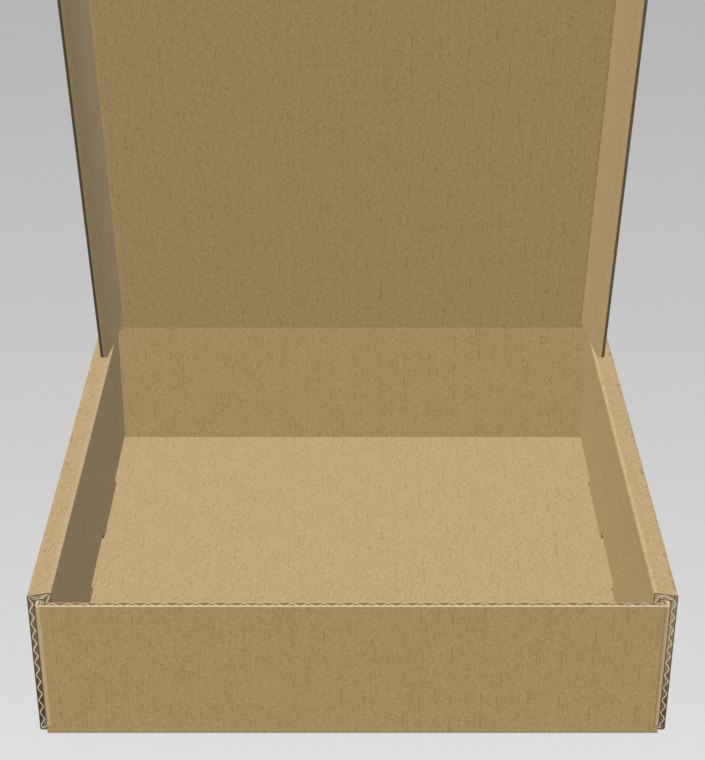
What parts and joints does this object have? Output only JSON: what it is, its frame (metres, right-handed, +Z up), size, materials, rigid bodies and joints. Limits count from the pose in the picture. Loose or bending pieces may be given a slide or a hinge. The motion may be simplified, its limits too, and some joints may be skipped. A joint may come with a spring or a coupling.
{
  "type": "mailer box",
  "caption": "Open roll-end mailer box folded from kraft corrugated board, with rolled side walls, a hinged lid with side flaps and a tuck flap; holds and ships small goods.",
  "frame": {"origin": "under the middle of the tray's base, on the surface that it stands on", "axes": "+X to the right seen from the open front, +Y towards the lid's hinge, +Z up"},
  "size_m": [0.26, 0.243, 0.3359],
  "materials": {
    "kraft_board": "matt unbleached kraft liner over open fluting, faint lines along the flutes and fine dark fibre flecks"
  },
  "bodies": {
    "tray": {"tray": "kraft_board"},
    "lid": {"lid": "kraft_board"},
    "left_lid_flap": {"left_lid_flap": "kraft_board"},
    "right_lid_flap": {"right_lid_flap": "kraft_board"},
    "tuck_flap": {"tuck_flap": "kraft_board"}
  },
  "joints": [
    {"name": "lid_hinge", "type": "hinge", "parent": "tray", "child": "lid", "pos_m": [0, 0.12005, 0.06935], "axis": [-1, 0, 0], "range_deg": [-76.8, 103.2]},
    {"name": "left_flap_crease", "type": "hinge", "parent": "lid", "child": "left_lid_flap", "pos_m": [-0.11885, 0.12005, 0.06935], "axis": [0, -0.2284, 0.9736], "range_deg": [-90, 30]},
    {"name": "right_flap_crease", "type": "hinge", "parent": "lid", "child": "right_lid_flap", "pos_m": [0.11885, 0.12005, 0.06935], "axis": [0, 0.2284, -0.9736], "range_deg": [-90, 30]},
    {"name": "tuck_crease", "type": "hinge", "parent": "lid", "child": "tuck_flap", "pos_m": [0, 0.06595, 0.29999], "axis": [1, 0, 0], "range_deg": [-20, 75]}
  ]
}
